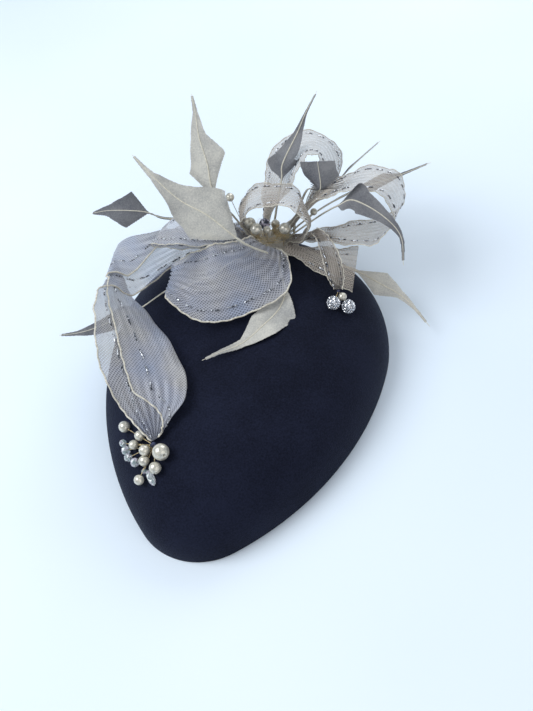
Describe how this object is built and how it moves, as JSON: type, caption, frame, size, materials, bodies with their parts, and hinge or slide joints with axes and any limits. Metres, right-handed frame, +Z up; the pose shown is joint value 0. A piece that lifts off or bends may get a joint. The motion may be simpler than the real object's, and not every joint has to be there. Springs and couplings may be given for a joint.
{
  "type": "fascinator headpiece",
  "caption": "Teardrop felt headpiece with looped open-weave ribbon, feathers and beads, held by a side comb sewn inside the rim.",
  "frame": {"origin": "middle of the head opening, in the plane of the rim", "axes": "+Z up out of the crown, +Y towards the round back, -Y towards the pointed front, X across the head"},
  "size_m": [0.2394, 0.3323, 0.1533],
  "materials": {
    "felt": "velour felt",
    "rim_wire": "thread-covered",
    "lining": "satin cloth",
    "petersham": "ribbed ribbon",
    "comb_metal": "polished",
    "thread": "matt thread",
    "buckram": "felt-covered buckram",
    "crin": "open woven nylon",
    "feather": "soft barbs",
    "pearl": "pearl lustre",
    "crystal": "faceted",
    "rhinestone": "faceted",
    "gold_mesh": "fine wire mesh",
    "bead_wire": "drawn wire"
  },
  "bodies": {
    "headpiece": {"back_loop_ribbon": "crin", "back_right_feather": "feather", "centre_arch_ribbon": "crin", "centre_crystal": "crystal", "centre_pearls": "pearl", "centre_stems": "bead_wire", "comb_stitches": "thread", "edge_wire": "rim_wire", "elastic_loops": "thread", "far_right_feather": "feather", "felt_shell": "felt", "front_feather": "feather", "front_loop_ribbon": "crin", "hooked_feather": "feather", "leaf_crystal": "crystal", "left_loop_ribbon": "crin", "left_tail_ribbon": "crin", "lining": "lining", "long_left_feather": "feather", "low_left_feather": "feather", "low_right_feather": "feather", "mesh_tuft": "gold_mesh", "petersham_band": "petersham", "rhinestone_balls": "rhinestone", "right_band_ribbon": "crin", "right_loop_ribbon": "crin", "right_tail_ribbon": "crin", "short_left_feather": "feather", "spray_crystals": "crystal", "spray_knot": "thread", "spray_large_pearl": "pearl", "spray_pearls": "pearl", "spray_stems": "bead_wire", "square_feather": "feather", "tail_knot": "thread", "tail_links": "bead_wire", "tail_pearl": "pearl", "tall_left_feather": "feather", "tall_right_feather": "feather", "trim_pad": "buckram", "wired_pearl_stems": "bead_wire", "wired_pearls": "pearl"},
    "comb": {"comb": "comb_metal"}
  },
  "joints": [
    {"name": "comb_tilt", "type": "hinge", "parent": "headpiece", "child": "comb", "pos_m": [0, -0.1145, 0.01], "axis": [1, 0, 0], "range_deg": [-25, 12]}
  ]
}
